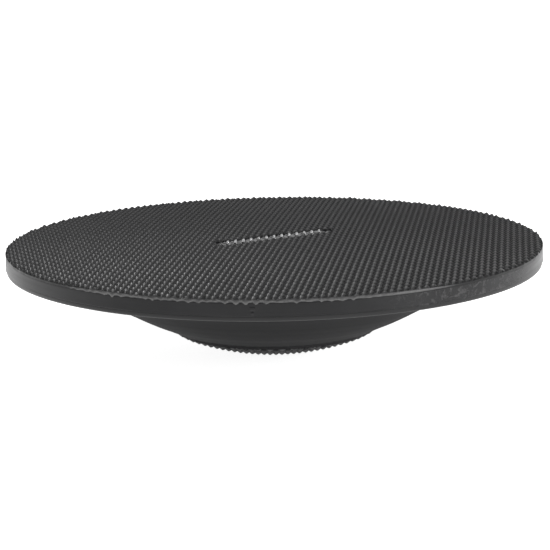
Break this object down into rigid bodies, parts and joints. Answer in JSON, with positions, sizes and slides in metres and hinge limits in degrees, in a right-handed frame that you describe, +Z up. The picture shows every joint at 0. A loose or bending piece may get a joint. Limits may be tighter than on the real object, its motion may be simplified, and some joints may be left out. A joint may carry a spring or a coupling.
{
  "type": "balance dome trainer",
  "caption": "Round studded standing deck over a shallow rubber-capped dome that rocks in every direction, for balance and ankle exercise.",
  "frame": {"origin": "on the floor under the lowest point of the dome, on the round board's axis", "axes": "+Z up along the board's axis, through the middle of the deck; +X and +Y across the deck, with the badge turned 30 degrees from +X"},
  "size_m": [0.3999, 0.4, 0.087],
  "materials": {
    "deck_rubber": "moulded studded rubber",
    "badge_gloss": "smooth gloss",
    "shell_rubber": "satin moulded rubber",
    "plywood": "birch plywood, unfinished",
    "core_plastic": "moulded, matt",
    "base_rubber": "satin moulded rubber",
    "tread_rubber": "moulded studded rubber",
    "screw_steel": "black zinc",
    "insert_brass": "turned"
  },
  "bodies": {
    "root": {"deck_mat": "deck_rubber", "centre_badge": "badge_gloss", "upper_shell": "shell_rubber", "deck_plate": "plywood", "rib_frame": "core_plastic", "base_shell": "base_rubber", "dome_tread": "tread_rubber", "shell_screws": "screw_steel", "threaded_inserts": "insert_brass", "centre_bolt": "screw_steel", "centre_washer": "screw_steel", "centre_nut": "screw_steel"}
  },
  "joints": []
}
